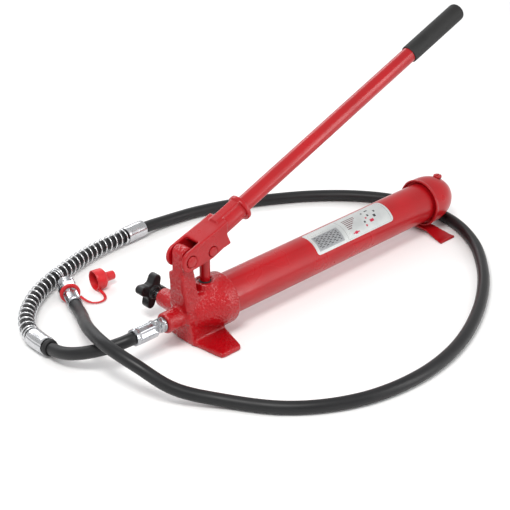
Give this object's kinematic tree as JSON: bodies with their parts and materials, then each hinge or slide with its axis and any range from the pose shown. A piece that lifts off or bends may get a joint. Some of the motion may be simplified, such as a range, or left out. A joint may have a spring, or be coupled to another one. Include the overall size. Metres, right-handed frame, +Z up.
{
  "type": "hydraulic hand pump",
  "caption": "Lever-operated hydraulic hand pump with a tubular oil reservoir, release valve, spring-guarded hose, screw coupler and tethered dust cap.",
  "frame": {"origin": "on the floor, on the underside of the front foot, under the plunger's axis on the centre plane", "axes": "+X along the reservoir from the pump head to the rear cap, +Z up, +Y towards the release valve"},
  "size_m": [0.6858, 0.5585, 0.3355],
  "materials": {
    "red_cast": "glossy red enamel over rough casting",
    "red_paint": "smooth glossy red enamel",
    "zinc": "bright zinc plate",
    "steel": "ground steel",
    "dark_steel": "blackened steel",
    "brass": "turned brass",
    "hose_rubber": "smooth black rubber cover",
    "grip_foam": "fine matt grip",
    "knob_plastic": "moulded black plastic",
    "seal_rubber": "black nitrile",
    "label_film": "silver printed film",
    "cap_plastic": "soft glossy red plastic"
  },
  "bodies": {
    "pump": {"pump_body": "red_cast", "reservoir_tube": "red_paint", "end_cap": "red_paint", "rear_foot": "red_paint", "rating_label": "label_film", "tube_front_seal": "seal_rubber", "tube_rear_seal": "seal_rubber", "gland_nut": "red_paint", "plunger_packing": "seal_rubber", "suction_tube": "steel", "suction_strainer": "brass", "inlet_ball": "steel", "outlet_ball": "steel", "outlet_spring": "steel", "relief_ball": "steel", "relief_spring": "steel", "relief_screw": "dark_steel", "fulcrum_pin": "red_paint", "fulcrum_clip": "dark_steel", "valve_o_ring": "seal_rubber", "port_adapter": "zinc", "hose_ferrule": "zinc", "hose": "hose_rubber", "guard_spring_front": "zinc", "guard_spring_rear": "zinc", "guard_sleeve_front": "zinc", "guard_sleeve_rear": "zinc", "guard_grommet": "hose_rubber", "coupler_ferrule": "zinc", "coupler_nut": "zinc", "coupler_sleeve": "zinc", "coupler_nose": "zinc", "coupler_pin": "brass", "strap_ring": "cap_plastic", "cap_strap": "cap_plastic", "dust_cap": "cap_plastic"},
    "lever_arm": {"lever": "red_cast", "piston_pin": "red_paint", "piston_clip": "dark_steel"},
    "handle": {"handle_tube": "red_paint", "handle_grip": "grip_foam"},
    "plunger_rod": {"plunger": "steel"},
    "valve_ball": {"release_ball": "steel"},
    "valve_stem": {"release_spindle": "zinc", "release_knob": "knob_plastic", "knob_pin": "dark_steel"},
    "filler_ring": {"filler_seal": "seal_rubber"},
    "filler": {"filler_plug": "red_paint"}
  },
  "joints": [
    {"name": "handle_pivot", "type": "hinge", "parent": "pump", "child": "lever_arm", "pos_m": [-0.036, 0, 0.1255], "axis": [0, 1, 0], "range_deg": [-25, 18]},
    {"name": "plunger_stroke", "type": "slide", "parent": "pump", "child": "plunger_rod", "axis": [0, 0, 1], "range_m": [-0.0125, 0.0165]},
    {"name": "handle_draw", "type": "slide", "parent": "lever_arm", "child": "handle", "axis": [0.9336, 0, 0.3584], "range_m": [0, 0.06]},
    {"name": "valve_turn", "type": "hinge", "parent": "valve_ball", "child": "valve_stem", "pos_m": [-0.0273, 0.05, 0.043], "axis": [0, 1, 0], "range_deg": [0, 540]},
    {"name": "valve_travel", "type": "slide", "parent": "pump", "child": "valve_ball", "axis": [0, 1, 0], "range_m": [0, 0.00225]},
    {"name": "filler_turn", "type": "hinge", "parent": "filler_ring", "child": "filler", "pos_m": [0.464, 0, 0.071], "axis": [0, 0, 1], "range_deg": [0, 1080]},
    {"name": "filler_lift", "type": "slide", "parent": "pump", "child": "filler_ring", "axis": [0, 0, 1], "range_m": [0, 0.0045]}
  ],
  "couplings": [
    {"joint": "plunger_stroke", "follows": "handle_pivot", "m_per_rad": -0.0352},
    {"joint": "valve_turn", "follows": "valve_travel", "rad_per_m": 4188.7},
    {"joint": "filler_turn", "follows": "filler_lift", "rad_per_m": 4188.7}
  ]
}
